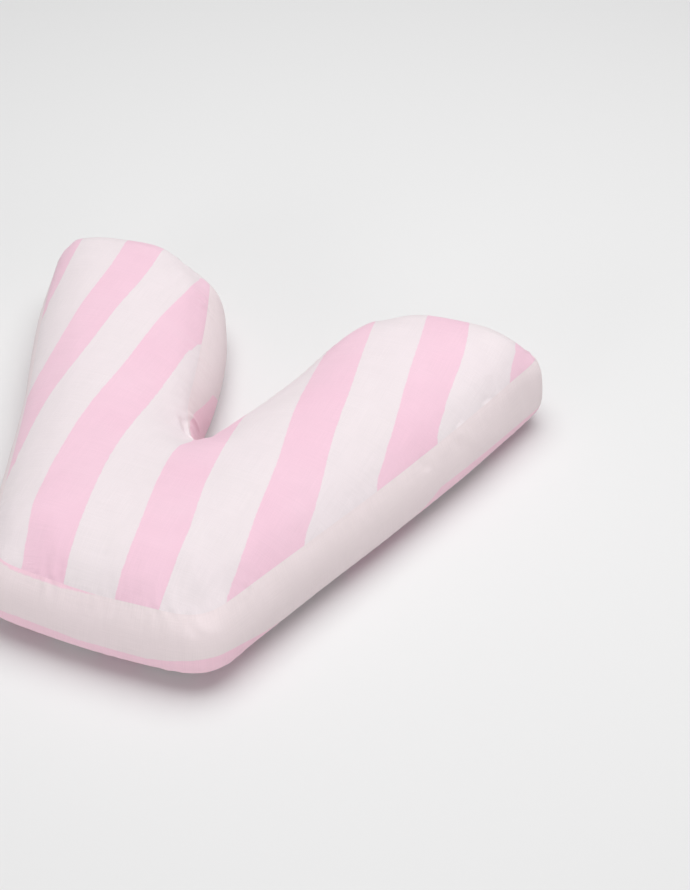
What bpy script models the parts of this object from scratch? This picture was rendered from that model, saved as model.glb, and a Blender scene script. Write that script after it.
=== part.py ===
"""Letter cushion: a stuffed capital V that lies on its back.

Metres, +Z up. X runs across the letter, Y from its foot to the tips of its
arms, and the origin is under the middle of the letter, on the surface it
lies on.

The cushion is boxed: a striped front panel and back panel of the letter's
outline, sewn to a side band that runs all the way round. The band and the
stuffing it holds are one filled solid, side_gusset; the two panels are thin
sheets that cover its crowned faces, from seam to seam.
"""

import math

import bmesh
import bpy
from mathutils import Vector

# ---- the letter as cut, seam to seam -----------------------------------------
LETTER_HEIGHT = 0.356  # foot to tips
LETTER_WIDTH = 0.432  # across both tips, outside
TIP_GAP = 0.132  # between the arms at the tips
TIP_SLANT = 0.006  # how much lower a tip's inner corner is than its outer one
NOTCH_HEIGHT = 0.170  # foot to the bottom of the notch
FOOT_WIDTH = 0.168
LEFT_ARM_NARROWER = 0.014  # at its tip, than the right arm: it was stuffed unevenly

TIP_OUTER_RADIUS = 0.008  # corners of the seam line, seen from above
TIP_INNER_RADIUS = 0.010
FOOT_RADIUS = 0.020
NOTCH_RADIUS = 0.004

# ---- the stuffed section -----------------------------------------------------
FRONT_SEAM_Z = 0.0655  # height of the front seam at the corners
BACK_SEAM_Z = 0.0095  # height of the back seam off the surface
BAND_BULGE = 0.0105  # how far the band stands out between its two seams
CLOTH = 0.0015  # panel thickness
GAP = 0.0003  # between a panel and the filled body

# Each edge of the outline: how far its middle stands out (+) or is drawn in (-),
# how far the front seam sinks there, and the share of the band's bulge that is
# left at the edge's first and second corner, counted from the tip.
#              bow      seam_dip  first  second
EDGES = {
    "side": (0.0020, 0.0045, 0.35, 0.70),
    "foot": (0.0040, 0.0035, 0.70, 0.70),
    "tip": (0.0075, 0.0030, 0.30, 0.60),
    "inner": (-0.0035, 0.0020, 0.60, 0.15),
}

# Crown over the seam line, by zone: its height, and the two exponents of its
# section 1 - |s|^flat, raised to 1/round, where s is -1 and 1 at the two seams.
#           height   flat   round
CROWNS = {
    "arm": (0.0250, 2.6, 1.75),
    "foot": (0.0275, 2.4, 1.55),
    "back": (0.0200, 2.6, 1.70),
}
TIP_ROLL = 0.052  # length over which the crown falls to the tip seam
NOTCH_PULL = 0.045  # reach of the dip that the notch seam pulls into the face
FLOOR_BLEND = 0.0040  # how softly the back face meets the surface

# ---- how finely the cover is divided -----------------------------------------
ACROSS = 14  # columns over an arm, from outer seam to inner seam
UP = 5  # rows of the band
# Rows from a tip to the letter's middle line, by the zone of the outer seam.
ROWS = {"tip": 4, "arm": 9, "foot_corner": 6, "foot": 4}

NAMES = ("front_panel", "side_gusset", "back_panel")
COLOURS = {
    "front_panel": (0.91, 0.56, 0.68, 1.0),
    "side_gusset": (0.84, 0.80, 0.79, 1.0),
    "back_panel": (0.88, 0.60, 0.70, 1.0),
}


def clear_scene():
    for thing in list(bpy.data.objects):
        bpy.data.objects.remove(thing, do_unlink=True)


# ------------------------------------------------------------- outline of half
def bowed_edge(start, end, bow, steps=40):
    """Points from start to end on a shallow arc that stands out to the right by bow."""
    along = end - start
    out = Vector((-along.y, along.x)).normalized()
    return [
        start + along * (i / steps) + out * bow * math.sin(math.pi * i / steps)
        for i in range(steps + 1)
    ]


def fillet(before, corner, after, radius, steps=12):
    """The arc that rounds a corner, from the incoming edge to the outgoing one."""
    a = (before - corner).normalized()
    b = (after - corner).normalized()
    half = math.acos(max(-1.0, min(1.0, a.dot(b)))) / 2
    reach = radius / math.tan(half)
    centre = corner + (a + b).normalized() * (radius / math.sin(half))
    p, q = corner + a * reach, corner + b * reach
    turn = (p - centre).angle_signed(q - centre)
    arc = []
    for i in range(steps + 1):
        t = -turn * i / steps
        d = p - centre
        arc.append(
            centre
            + Vector(
                (d.x * math.cos(t) - d.y * math.sin(t), d.x * math.sin(t) + d.y * math.cos(t))
            )
        )
    return arc


def trimmed(edge, start_arc, end_arc):
    """An edge's points that lie between the arcs at its two ends."""
    a = start_arc[-1] if start_arc else edge[0]
    b = end_arc[0] if end_arc else edge[-1]
    along = edge[-1] - edge[0]
    lo = (a - edge[0]).dot(along) + 1e-9
    hi = (b - edge[0]).dot(along) - 1e-9
    return [p for p in edge if lo < (p - edge[0]).dot(along) < hi]


class Path:
    """A line of points, read by the share of its length."""

    def __init__(self, points):
        self.points = points
        self.at = [0.0]
        for p, q in zip(points, points[1:]):
            self.at.append(self.at[-1] + (q - p).length)
        self.length = self.at[-1]

    def __call__(self, share):
        want = max(0.0, min(1.0, share)) * self.length
        for i in range(1, len(self.at)):
            if want <= self.at[i] or i == len(self.at) - 1:
                span = self.at[i] - self.at[i - 1]
                t = 0.0 if span <= 0 else (want - self.at[i - 1]) / span
                return self.points[i - 1].lerp(self.points[i], t)

    def share_of(self, point):
        """The share of the length at the point of the line nearest to this one."""
        best = min(range(len(self.points)), key=lambda i: (self.points[i] - point).length)
        return self.at[best] / self.length


def half_outline():
    """The right half's seam line as (outer, inner, tip) paths, rounded at its corners."""
    tip_out = Vector((LETTER_WIDTH / 2, LETTER_HEIGHT))
    tip_in = Vector((TIP_GAP / 2, LETTER_HEIGHT - TIP_SLANT))
    foot = Vector((FOOT_WIDTH / 2, 0.0))
    middle = Vector((0.0, 0.0))
    notch = Vector((0.0, NOTCH_HEIGHT))
    far = Vector((-FOOT_WIDTH / 2, 0.0))
    other = Vector((-TIP_GAP / 2, LETTER_HEIGHT - TIP_SLANT))

    tip_arc_out = fillet(tip_in, tip_out, foot, TIP_OUTER_RADIUS)
    foot_arc = fillet(tip_out, foot, middle, FOOT_RADIUS)
    notch_arc = fillet(tip_in, notch, other, NOTCH_RADIUS)
    tip_arc_in = fillet(notch, tip_in, tip_out, TIP_INNER_RADIUS)
    half = len(tip_arc_out) // 2

    side = bowed_edge(tip_out, foot, EDGES["side"][0])
    base = bowed_edge(foot, far, EDGES["foot"][0])
    inner = bowed_edge(notch, tip_in, EDGES["inner"][0])
    top = bowed_edge(tip_in, tip_out, EDGES["tip"][0])

    outer_line = tip_arc_out[half:]
    outer_line += trimmed(side, tip_arc_out, foot_arc)
    outer_line += foot_arc
    outer_line += [p for p in trimmed(base, foot_arc, None) if p.x > 1e-6]
    outer_line.append(Vector((0.0, base[len(base) // 2].y)))

    half_notch = len(notch_arc) // 2
    inner_line = [Vector((0.0, notch_arc[half_notch].y))]
    inner_line += list(reversed(notch_arc[:half_notch]))
    inner_line += trimmed(inner, list(reversed(notch_arc)), tip_arc_in)
    inner_line += tip_arc_in[: half + 1]
    inner_line.reverse()  # from the tip to the notch

    tip_line = tip_arc_in[half:] + trimmed(top, tip_arc_in, tip_arc_out)
    tip_line += tip_arc_out[: half + 1]
    tip_line.reverse()  # from the outer corner to the inner one
    return Path(outer_line), Path(inner_line), Path(tip_line)


OUTER, INNER, TIP = half_outline()
FOOT_SHARE = OUTER.share_of(Vector((FOOT_WIDTH / 2, 0.0)))


def inner_share(b):
    """Rows stay square to the arm near its tip, and fan out round the notch."""
    return 0.24 * b + 0.76 * (1.0 - (1.0 - b) ** 2.5)


def plan(a, b):
    """Place on the seam plane: a from the outer seam to the inner, b from the tip to the middle line."""
    outer, inner = OUTER(b), INNER(inner_share(b))
    tip, middle = TIP(a), OUTER(1.0).lerp(INNER(1.0), a)
    corners = (
        OUTER(0.0).lerp(INNER(0.0), a) * (1 - b) + OUTER(1.0).lerp(INNER(1.0), a) * b
    )
    return outer.lerp(inner, a) + tip * (1 - b) + middle * b - corners


def outward(a, b):
    """Unit vector in the plan that points out of the letter at a point of its outline."""
    e = 1e-3
    if b <= 0.0 and a <= 0.0:
        tangent = OUTER(e) - TIP(e)
    elif b <= 0.0 and a >= 1.0:
        tangent = TIP(1 - e) - INNER(inner_share(e))
    elif b <= 0.0:
        tangent = TIP(a - e) - TIP(a + e)
    elif a <= 0.0:
        tangent = (
            Vector((-1.0, 0.0)) if b >= 1.0 else OUTER(min(1, b + e)) - OUTER(b - e)
        )
    else:
        tangent = (
            Vector((1.0, 0.0))
            if b >= 1.0
            else INNER(inner_share(b) - e) - INNER(min(1, inner_share(b) + e))
        )
    return Vector((-tangent.y, tangent.x)).normalized()


def edge_share(a, b):
    """(edge name, how far along it from corner to corner) for a point of the outline."""
    if b <= 0.0:
        return "tip", a
    if a >= 1.0:
        return "inner", inner_share(b)
    if b < FOOT_SHARE:
        return "side", b / FOOT_SHARE
    return "foot", 0.5 * (b - FOOT_SHARE) / (1 - FOOT_SHARE)


def seam_height(a, b):
    """Height of the front seam: it sinks towards the middle of each edge."""
    edge, share = edge_share(a, b)
    return FRONT_SEAM_Z - EDGES[edge][1] * math.sin(math.pi * share)


def section(s, flat, round_):
    return max(0.0, 1.0 - abs(s) ** flat) ** (1.0 / round_)


def smooth(x):
    x = max(0.0, min(1.0, x))
    return x * x * (3 - 2 * x)


def crown(a, b, zone_far, zone_near):
    """Height of a face over its seam plane."""
    blend = smooth((b - 0.45) / 0.5)
    height, flat, round_ = (
        (1 - blend) * x + blend * y for x, y in zip(zone_far, zone_near)
    )
    from_tip = b * OUTER.length
    roll = section(max(0.0, 1.0 - from_tip / TIP_ROLL), flat, round_)
    place = plan(a, b)
    to_notch = (place - INNER(1.0)).length
    pull = 1.0 - 0.30 * math.exp(-((to_notch / NOTCH_PULL) ** 2))
    return height * section(2 * a - 1, flat, round_) * roll * pull


def uneven(place):
    """The same place with the left arm a little narrower than the right one."""
    if place.x >= 0.0:
        return place
    rise = (place.y - NOTCH_HEIGHT) / (LETTER_HEIGHT - NOTCH_HEIGHT)
    axis = -(LETTER_WIDTH + TIP_GAP) / 4 * place.y / LETTER_HEIGHT
    share = LEFT_ARM_NARROWER * 2 / (LETTER_WIDTH - TIP_GAP)
    return Vector((place.x - (place.x - axis) * share * max(0.0, rise) ** 1.3, place.y, place.z))


def settled(depth):
    """Height of the back face where it would reach this far below the surface."""
    if depth <= -FLOOR_BLEND:
        return -depth
    if depth >= FLOOR_BLEND:
        return 0.0
    return (FLOOR_BLEND - depth) ** 2 / (4 * FLOOR_BLEND)


def base_height(a, b):
    """The seam plane's height carried over the face, as a blend of the seams round it."""
    outer, inner, tip = seam_height(0.0, max(b, 1e-6)), seam_height(1.0, max(b, 1e-6)), seam_height(a, 0.0)
    corner = FRONT_SEAM_Z
    near_tip = max(0.0, 1.0 - b * OUTER.length / TIP_ROLL)
    return outer * (1 - a) + inner * a + near_tip * (tip - corner)


def cover_point(a, b, c):
    """A point of the stuffed cover: c is 0 on the back, 1 on the front, and between them on the band."""
    at_edge = a <= 0.0 or a >= 1.0 or b <= 0.0
    if c >= 1.0 and not at_edge:
        place = plan(a, b)
        return Vector(
            (place.x, place.y, base_height(a, b) + crown(a, b, CROWNS["arm"], CROWNS["foot"]))
        )
    if c <= 0.0 and not at_edge:
        place = plan(a, b)
        drop = crown(a, b, CROWNS["back"], CROWNS["back"])
        return Vector((place.x, place.y, settled(drop - BACK_SEAM_Z)))
    place = plan(a, b)
    z0, z1 = settled(-BACK_SEAM_Z), seam_height(a, b)
    edge, share = edge_share(a, b)
    first, second = EDGES[edge][2:]
    corner = first * (1 - share) + second * share
    fullness = corner + (1.0 - corner) * math.sin(math.pi * share) ** 0.7
    lean = outward(a, b) * BAND_BULGE * fullness * section(2 * c - 1, 2.0, 1.3)
    return Vector((place.x + lean.x, place.y + lean.y, z0 + (z1 - z0) * c))


# ------------------------------------------------------------------ the meshes
def even_cuts(count):
    return [i / count for i in range(1, count)]


def gathered_cuts(count):
    """Closer together towards both ends, where the crown turns down to its seams."""
    return [0.5 - 0.5 * math.cos(math.pi * i / count) for i in range(1, count)]


def row_cuts():
    """Rows between tip and middle line: close where the outer seam turns a corner."""
    turn = FOOT_RADIUS * 0.75 / OUTER.length
    ends = {
        "tip": (0.0, 2.2 * TIP_OUTER_RADIUS / OUTER.length),
        "arm": (2.2 * TIP_OUTER_RADIUS / OUTER.length, FOOT_SHARE - turn),
        "foot_corner": (FOOT_SHARE - turn, FOOT_SHARE + turn),
        "foot": (FOOT_SHARE + turn, 1.0),
    }
    found = []
    for zone, rows in ROWS.items():
        low, high = ends[zone]
        found += [low + (high - low) * (i + 1) / rows for i in range(rows)]
    return found[:-1]


def cover():
    """The whole cover as a bmesh. A cube is cut into rows, its faces are marked front,
    back or band, and it is bent into half the letter and mirrored."""
    bm = bmesh.new()
    bmesh.ops.create_cube(bm, size=1.0)
    bmesh.ops.translate(bm, verts=bm.verts, vec=(0.5, 0.5, 0.5))
    for axis, places in enumerate(
        (gathered_cuts(ACROSS), row_cuts(), even_cuts(UP))
    ):
        normal = Vector((0.0, 0.0, 0.0))
        normal[axis] = 1.0
        for place in places:
            bmesh.ops.bisect_plane(
                bm,
                geom=bm.verts[:] + bm.edges[:] + bm.faces[:],
                dist=1e-7,
                plane_co=normal * place,
                plane_no=normal,
            )
    bm.normal_update()
    for face in bm.faces:
        face.material_index = 1 if face.normal.z > 0.5 else 2 if face.normal.z < -0.5 else 0
    middle = [f for f in bm.faces if f.normal.y > 0.5]
    bmesh.ops.delete(bm, geom=middle, context="FACES")
    snap = lambda x: 0.0 if x < 1e-6 else 1.0 if x > 1 - 1e-6 else x
    for vert in bm.verts:
        a, b, c = (snap(x) for x in vert.co)
        vert.co = cover_point(a, b, c)
        if b == 1.0:
            vert.co.x = 0.0
    bmesh.ops.mirror(
        bm,
        geom=bm.verts[:] + bm.edges[:] + bm.faces[:],
        axis="X",
        merge_dist=1e-6,
    )
    bmesh.ops.remove_doubles(bm, verts=bm.verts, dist=1e-6)
    for vert in bm.verts:
        vert.co = uneven(vert.co)
    bmesh.ops.recalc_face_normals(bm, faces=bm.faces)
    middle = [
        -(min(v.co[i] for v in bm.verts) + max(v.co[i] for v in bm.verts)) / 2 for i in (0, 1)
    ]
    bmesh.ops.translate(bm, verts=bm.verts, vec=(*middle, 0.0))
    return bm


def panel_normals(bm, which):
    """Each vertex of one panel with the mean normal of that panel's own faces there."""
    found = {}
    for face in bm.faces:
        if face.material_index == which:
            for loop in face.loops:
                share = face.normal * loop.calc_angle()
                found[loop.vert] = found.get(loop.vert, Vector()) + share
    return {vert: normal.normalized() for vert, normal in found.items()}


def new_object(name, bm, collection):
    for face in bm.faces:
        face.material_index = 0
        face.smooth = True
    mesh = bpy.data.meshes.new(name)
    bm.to_mesh(mesh)
    bm.free()
    obj = bpy.data.objects.new(name, mesh)
    collection.objects.link(obj)
    material = bpy.data.materials.new(name + "_cotton")
    material.use_nodes = True
    shader = material.node_tree.nodes["Principled BSDF"]
    shader.inputs["Base Color"].default_value = COLOURS[name]
    shader.inputs["Roughness"].default_value = 0.9
    shader.inputs["Metallic"].default_value = 0.0
    mesh.materials.append(material)
    return obj


def make_panel(name, which, collection):
    """One panel: the cover's faces on that side, given the cloth's thickness inwards."""
    bm = cover()
    bmesh.ops.delete(
        bm, geom=[f for f in bm.faces if f.material_index != which], context="FACES"
    )
    obj = new_object(name, bm, collection)
    thick = obj.modifiers.new("cloth", "SOLIDIFY")
    thick.thickness = CLOTH
    thick.offset = -1.0
    thick.use_even_offset = False
    return obj


def make_body(name, collection):
    """The band with its filling: the cover, let in under each panel by the cloth and a gap."""
    bm = cover()
    bm.normal_update()
    moves = [panel_normals(bm, which) for which in (1, 2)]
    for move in moves:
        for vert, normal in move.items():
            vert.co -= normal * (CLOTH + GAP + 0.0003)
    return new_object(name, bm, collection)


def main():
    clear_scene()
    collection = bpy.data.collections.new("letter_cushion")
    bpy.context.scene.collection.children.link(collection)
    make_panel("front_panel", 1, collection)
    make_body("side_gusset", collection)
    make_panel("back_panel", 2, collection)


main()
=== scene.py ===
"""Looks of the letter cushion: a stuffed capital V of striped cotton, lying on its back.

Metres, +Z up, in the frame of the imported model. The cover is modelled as it is
sewn, a front panel, a side band and a back panel, then inflated as cloth and
cut along its seams into three pieces.
"""

import math

import bmesh
import bpy
import numpy as np
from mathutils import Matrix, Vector, kdtree


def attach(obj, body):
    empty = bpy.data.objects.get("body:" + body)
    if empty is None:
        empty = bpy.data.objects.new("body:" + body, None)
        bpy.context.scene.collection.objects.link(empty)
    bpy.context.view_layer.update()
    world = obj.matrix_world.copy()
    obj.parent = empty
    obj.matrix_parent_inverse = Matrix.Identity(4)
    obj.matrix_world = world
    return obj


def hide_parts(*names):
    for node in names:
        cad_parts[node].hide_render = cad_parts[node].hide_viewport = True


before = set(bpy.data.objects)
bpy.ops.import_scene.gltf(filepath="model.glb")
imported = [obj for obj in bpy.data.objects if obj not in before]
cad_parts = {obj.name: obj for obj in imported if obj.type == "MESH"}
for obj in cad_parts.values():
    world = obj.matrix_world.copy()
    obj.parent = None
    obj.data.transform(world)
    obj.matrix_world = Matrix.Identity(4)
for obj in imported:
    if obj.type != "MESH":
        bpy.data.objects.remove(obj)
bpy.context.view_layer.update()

MM = 0.001

# ============================================================ the letter's plan
# Letter coordinates: x outwards from the middle line, y up from the foot.
LETTER_AT = (-0.00347, -0.17791)  # where the foot's middle lies in the frame

CORNERS = {
    #          tip, outside      tip, inside       foot
    "right": {"tip_out": (0.2178, 0.3635), "tip_in": (0.0660, 0.3500), "foot": (0.0840, 0.0000)},
    "left": {"tip_out": (0.2105, 0.3595), "tip_in": (0.0705, 0.3535), "foot": (0.0840, 0.0000)},
}
NOTCH = (0.0, 0.1675)
NOTCH_BOTTOM = 0.1746  # of the rounded seam line
RADII = {
    "right": {"tip_out": 0.011, "tip_in": 0.016, "foot": 0.022, "notch": 0.004},
    "left": {"tip_out": 0.008, "tip_in": 0.010, "foot": 0.022, "notch": 0.004},
}

# Each edge from its first corner to its second, counted from the tip down, in mm:
# how far along, how far the seam stands out of the straight line, the height of
# the front seam, and how far the band stands out between its seams.
EDGES = {
    "right": {
        #         at    out   seam  bulge
        "side": ((0.00, 0.0, 68.0, 5.5),
                 (0.25, 1.2, 62.5, 10.0),
                 (0.50, 2.0, 61.0, 10.5),
                 (0.75, 1.2, 62.5, 10.5),
                 (1.00, 0.0, 65.0, 14.2)),
        "foot": ((0.00, 0.0, 65.0, 14.2),
                 (0.50, 4.0, 62.0, 13.5)),
        "tip": ((0.00, 0.0, 68.0, 5.5),
                (0.25, 6.0, 65.5, 9.5),
                (0.75, 8.5, 63.5, 12.0),
                (1.00, 0.0, 65.5, 8.0)),
        "inner": ((0.00, 0.0, 65.5, 8.0),
                  (0.20, -2.0, 63.5, 9.5),
                  (0.45, -6.0, 61.5, 10.5),
                  (0.75, -7.0, 61.5, 8.0),
                  (1.00, 0.0, 60.0, 2.0)),
    },
    "left": {
        "side": ((0.00, 0.0, 65.5, 4.0),
                 (0.25, 4.0, 62.5, 6.5),
                 (0.50, 0.0, 61.0, 5.5),
                 (0.75, -0.5, 62.5, 8.5),
                 (1.00, 0.0, 65.0, 14.2)),
        "foot": ((0.00, 0.0, 65.0, 14.2),
                 (0.50, 4.0, 62.0, 13.5)),
        "tip": ((0.00, 0.0, 65.5, 4.0),
                (0.25, 6.5, 63.5, 10.0),
                (0.75, 12.0, 65.5, 13.0),
                (1.00, 0.0, 66.0, 11.0)),
        "inner": ((0.00, 0.0, 66.0, 11.0),
                  (0.25, -1.0, 64.0, 15.5),
                  (0.60, -4.5, 63.5, 13.5),
                  (0.82, -6.5, 62.5, 7.5),
                  (1.00, 0.0, 60.0, 2.0)),
    },
}
COLUMN = {"at": 0, "out": 1, "seam": 2, "bulge": 3}

FRONT_CROWN = 26.0 * MM  # over the seams, where the front is fullest
BACK_CROWN = 20.0 * MM
# How far in from each seam a face is still rolling over, in mm.
FRONT_ROLL = {"side": 42.0, "foot": 42.0, "tip": 27.0, "inner": 48.0}
BACK_ROLL = {"side": 38.0, "foot": 38.0, "tip": 34.0, "inner": 42.0}
BACK_SEAM = 8.0 * MM  # height of the back seam off the surface
FLOOR_BLEND = 4.0 * MM

ACROSS = 34  # columns over an arm
ALONG = 96  # rows from a tip to the middle line
UP = 14  # rows of the band


# ------------------------------------------------------------------- smooth rows
def row_curve(rows, column, at):
    """A smooth curve through one column of a table, read at the shares in at."""
    rows = np.array(rows, float)
    x, y = rows[:, 0], rows[:, COLUMN[column]] * MM
    slope = np.gradient(y, x)
    at = np.clip(np.asarray(at, float), x[0], x[-1])
    i = np.clip(np.searchsorted(x, at, side="right") - 1, 0, len(x) - 2)
    h = x[i + 1] - x[i]
    t = (at - x[i]) / h
    return (
        (2 * t**3 - 3 * t**2 + 1) * y[i]
        + (t**3 - 2 * t**2 + t) * h * slope[i]
        + (-2 * t**3 + 3 * t**2) * y[i + 1]
        + (t**3 - t**2) * h * slope[i + 1]
    )


def smooth(x, low=0.0, high=1.0):
    t = np.clip((np.asarray(x, float) - low) / (high - low), 0.0, 1.0)
    return t * t * (3 - 2 * t)


# --------------------------------------------------------------- the half outline
def unit(v):
    return v / np.linalg.norm(v)


def fillet(before, corner, after, radius, steps=16):
    a, b = unit(before - corner), unit(after - corner)
    half = math.acos(float(np.clip(a @ b, -1, 1))) / 2
    centre = corner + unit(a + b) * (radius / math.sin(half))
    p, q = corner + a * radius / math.tan(half), corner + b * radius / math.tan(half)
    start = math.atan2(*(p - centre)[::-1])
    turn = math.atan2(*(q - centre)[::-1]) - start
    turn = (turn + math.pi) % (2 * math.pi) - math.pi
    angles = start + turn * np.linspace(0, 1, steps + 1)
    return centre + radius * np.stack([np.cos(angles), np.sin(angles)], 1)


class Path:
    """A line of points, read by the share of its length."""

    def __init__(self, points):
        self.points = np.array(points, float)
        step = np.linalg.norm(np.diff(self.points, axis=0), axis=1)
        self.at = np.concatenate([[0.0], np.cumsum(step)])
        self.length = self.at[-1]

    def __call__(self, share):
        want = np.clip(share, 0.0, 1.0) * self.length
        return np.stack([np.interp(want, self.at, self.points[:, i]) for i in (0, 1)], -1)

    def share_of(self, point):
        near = np.linalg.norm(self.points - np.array(point), axis=1).argmin()
        return self.at[near] / self.length


def edge_points(rows, start, end, sign, steps=80):
    """An edge from start to end, standing out by its table's second column."""
    share = np.linspace(rows[0][0], rows[-1][0], steps + 1)
    along = end - start
    out = unit(np.array([along[1], -along[0]])) * sign
    place = (share - rows[0][0]) / (1.0 - rows[0][0])
    return start + place[:, None] * along + row_curve(rows, "out", share)[:, None] * out


class Half:
    """One half of the outline: its outer, inner and tip seam lines, from the tip down."""

    def __init__(self, side):
        c = {k: np.array(v) for k, v in CORNERS[side].items()}
        self.rows = EDGES[side]
        self.radii = RADII[side]
        notch, middle = np.array(NOTCH), np.array([0.0, 0.0])
        tip_out, tip_in, foot = c["tip_out"], c["tip_in"], c["foot"]
        foot_far = np.array([-foot[0], foot[1]])
        arc_out = fillet(tip_in, tip_out, foot, self.radii["tip_out"])
        arc_foot = fillet(tip_out, foot, foot_far, self.radii["foot"])
        arc_in = fillet(notch, tip_in, tip_out, self.radii["tip_in"])
        arc_notch = fillet(tip_in, notch, np.array([-tip_in[0], tip_in[1]]), self.radii["notch"])
        side_line = edge_points(self.rows["side"], tip_out, foot, -1)
        foot_line = edge_points(self.rows["foot"] + ((1.0, 0.0, 65.0, 14.2),), foot, foot_far, -1)
        tip_line = edge_points(self.rows["tip"], tip_out, tip_in, 1)
        inner_line = edge_points(self.rows["inner"], tip_in, notch, 1)
        mid = len(arc_out) // 2

        def between(line, a, b):
            along = line[-1] - line[0]
            lo = (a - line[0]) @ along / (along @ along) + 1e-6
            hi = (b - line[0]) @ along / (along @ along) - 1e-6
            t = (line - line[0]) @ along / (along @ along)
            return line[(t > lo) & (t < hi)]

        half_foot = between(foot_line, arc_foot[-1], np.array([1e-5, foot[1]]))
        self.outer = Path(np.vstack([
            arc_out[mid:],
            between(side_line, arc_out[-1], arc_foot[0]),
            arc_foot,
            half_foot,
            [[0.0, foot_line[len(foot_line) // 2][1]]],
        ]))
        self.inner = Path(np.vstack([
            arc_in[mid:0:-1],
            arc_in[:1],
            between(inner_line, arc_in[0], arc_notch[0]),
            arc_notch[:mid],
            [[0.0, NOTCH_BOTTOM]],
        ]))
        self.tip = Path(np.vstack([
            arc_out[mid:0:-1],
            arc_out[:1],
            between(tip_line, arc_out[0], arc_in[-1]),
            arc_in[:mid:-1],
            arc_in[mid:mid + 1],
        ]))
        self.foot_share = self.outer.share_of(foot)
        # the seam as chains that each carry the corner arcs at their ends
        self.chains = {
            "side": np.vstack([arc_out, between(side_line, arc_out[-1], arc_foot[0]), arc_foot]),
            "foot": np.vstack([arc_foot, between(foot_line, arc_foot[-1], foot_far)]),
            "tip": np.vstack([arc_out[::-1], between(tip_line, arc_out[0], arc_in[-1]), arc_in[::-1]]),
            "inner": np.vstack([arc_in[::-1], between(inner_line, arc_in[0], arc_notch[0]), arc_notch]),
        }

    @staticmethod
    def inner_share(b):
        """Rows stay square to the arm near its tip, and fan out round the notch."""
        return 0.24 * b + 0.76 * (1.0 - (1.0 - b) ** 2.5)

    def plan(self, a, b):
        """Place on the seam plane: a from the outer seam to the inner, b from tip to middle line."""
        outer, inner, tip = self.outer(b), self.inner(self.inner_share(b)), self.tip(a)
        a, b = a[..., None], b[..., None]
        o0, o1 = self.outer(0.0), self.outer(1.0)
        i0, i1 = self.inner(0.0), self.inner(1.0)
        middle = o1 * (1 - a) + i1 * a
        corners = (o0 * (1 - a) + i0 * a) * (1 - b) + middle * b
        return outer * (1 - a) + inner * a + tip * (1 - b) + middle * b - corners

    def edge_share(self, a, b):
        """(edge name, share along it) for one point of the outline."""
        if b <= 0.0:
            return "tip", a
        if a >= 1.0:
            return "inner", float(self.inner_share(b))
        if b < self.foot_share:
            return "side", b / self.foot_share
        return "foot", 0.5 * (b - self.foot_share) / (1 - self.foot_share)

    def on_edge(self, column, a, b):
        """A column of the edge tables at points of the outline."""
        out = np.empty(len(a))
        for i in range(len(a)):
            edge, share = self.edge_share(a[i], b[i])
            out[i] = row_curve(self.rows[edge], column, share)
        return out


HALVES = {side: Half(side) for side in ("right", "left")}
SIGN = {"right": 1.0, "left": -1.0}


def distance(points, chain):
    """Distance in the plan from each point to a chain of points."""
    best = np.full(len(points), 1e9)
    for p, q in zip(chain, chain[1:]):
        d = q - p
        t = np.clip((points - p) @ d / max(d @ d, 1e-18), 0.0, 1.0)
        best = np.minimum(best, np.linalg.norm(points - p - t[:, None] * d, axis=1))
    return best


def roll(depth, reach, power=2.2, round_=1.22):
    t = np.clip(depth / reach, 0.0, 1.0)
    return (1.0 - (1.0 - t) ** power) ** (1.0 / round_)


def fullness(points, reach):
    """0 on the seam and about 1 well inside it, for points in letter coordinates."""
    total = np.ones(len(points))
    for side, half in HALVES.items():
        for name, chain in half.chains.items():
            if name == "foot" and side == "left":
                continue
            line = chain * (SIGN[side], 1.0)
            thin = line[::2] if len(line) > 40 else line
            thin = np.vstack([thin, line[-1:]])
            total *= roll(distance(points, thin), reach[name] * MM)
    return total


def settled(depth):
    """Height of the back where it would reach this far below the surface."""
    depth = np.asarray(depth, float)
    soft = (FLOOR_BLEND - depth) ** 2 / (4 * FLOOR_BLEND)
    return np.where(depth <= -FLOOR_BLEND, -depth, np.where(depth >= FLOOR_BLEND, 0.0, soft))


# ==================================================================== the cover
def gathered(count, share=0.5):
    """Cuts of a unit length, closer together towards both ends."""
    t = np.linspace(0.0, 1.0, count + 1)
    return (1 - share) * t + share * (0.5 - 0.5 * np.cos(math.pi * t))


def row_places(half):
    """Rows from tip to middle line, close where the outer seam turns a corner."""
    turn = half.radii["foot"] * 0.75 / half.outer.length
    tip = 0.018 / half.outer.length
    ends = (0.0, tip, half.foot_share - turn, half.foot_share + turn, 1.0)
    counts = (6, ALONG - 34, 10, 18)
    cuts = [0.0]
    for low, high, rows in zip(ends, ends[1:], counts):
        cuts += list(low + (high - low) * np.arange(1, rows + 1) / rows)
    return np.array(cuts)


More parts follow.
